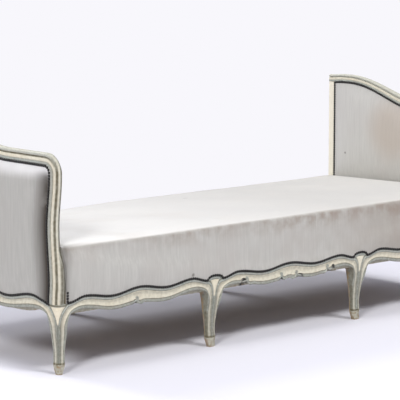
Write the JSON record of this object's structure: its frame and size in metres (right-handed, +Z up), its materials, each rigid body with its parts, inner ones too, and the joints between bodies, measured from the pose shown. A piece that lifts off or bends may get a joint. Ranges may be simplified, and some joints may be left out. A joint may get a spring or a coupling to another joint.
{
  "type": "recamier daybed",
  "caption": "Painted wooden daybed with raised upholstered ends, a long padded seat, serpentine moulded rails and curved legs.",
  "frame": {"origin": "middle of the bounding box in plan, at floor level", "axes": "+X along the length towards the end on the viewer's right, -Y out of the moulded front, +Z up"},
  "size_m": [2.091, 0.822, 0.809],
  "materials": {
    "painted_wood": "aged cream and grey-green paint, worn to the wood at the edges",
    "bare_wood": "unfinished, darkened",
    "jute": "coarse plain weave",
    "velvet": "worn pale grey velvet"
  },
  "bodies": {
    "root": {"front_left_corner_leg": "painted_wood", "front_left_mid_leg": "painted_wood", "front_right_mid_leg": "painted_wood", "front_right_corner_leg": "painted_wood", "rear_left_corner_leg": "painted_wood", "rear_left_mid_leg": "painted_wood", "rear_right_mid_leg": "painted_wood", "rear_right_corner_leg": "painted_wood", "front_rail_left": "painted_wood", "front_rail_middle": "painted_wood", "front_rail_right": "painted_wood", "rear_rail_left": "painted_wood", "rear_rail_middle": "painted_wood", "rear_rail_right": "painted_wood", "left_end_rail": "painted_wood", "right_end_rail": "painted_wood", "left_front_stile": "painted_wood", "right_front_stile": "painted_wood", "left_rear_stile": "painted_wood", "right_rear_stile": "painted_wood", "left_top_rail": "painted_wood", "right_top_rail": "painted_wood", "left_cross_brace": "bare_wood", "right_cross_brace": "bare_wood", "corner_blocks": "bare_wood", "crosswise_webbing": "jute", "lengthwise_webbing": "jute", "seat_hessian": "jute", "left_end_hessian": "jute", "right_end_hessian": "jute", "seat_pad": "velvet", "front_border": "velvet", "rear_border": "velvet", "left_inner_pad": "velvet", "right_inner_pad": "velvet", "left_outer_pad": "velvet", "right_outer_pad": "velvet"}
  },
  "joints": []
}
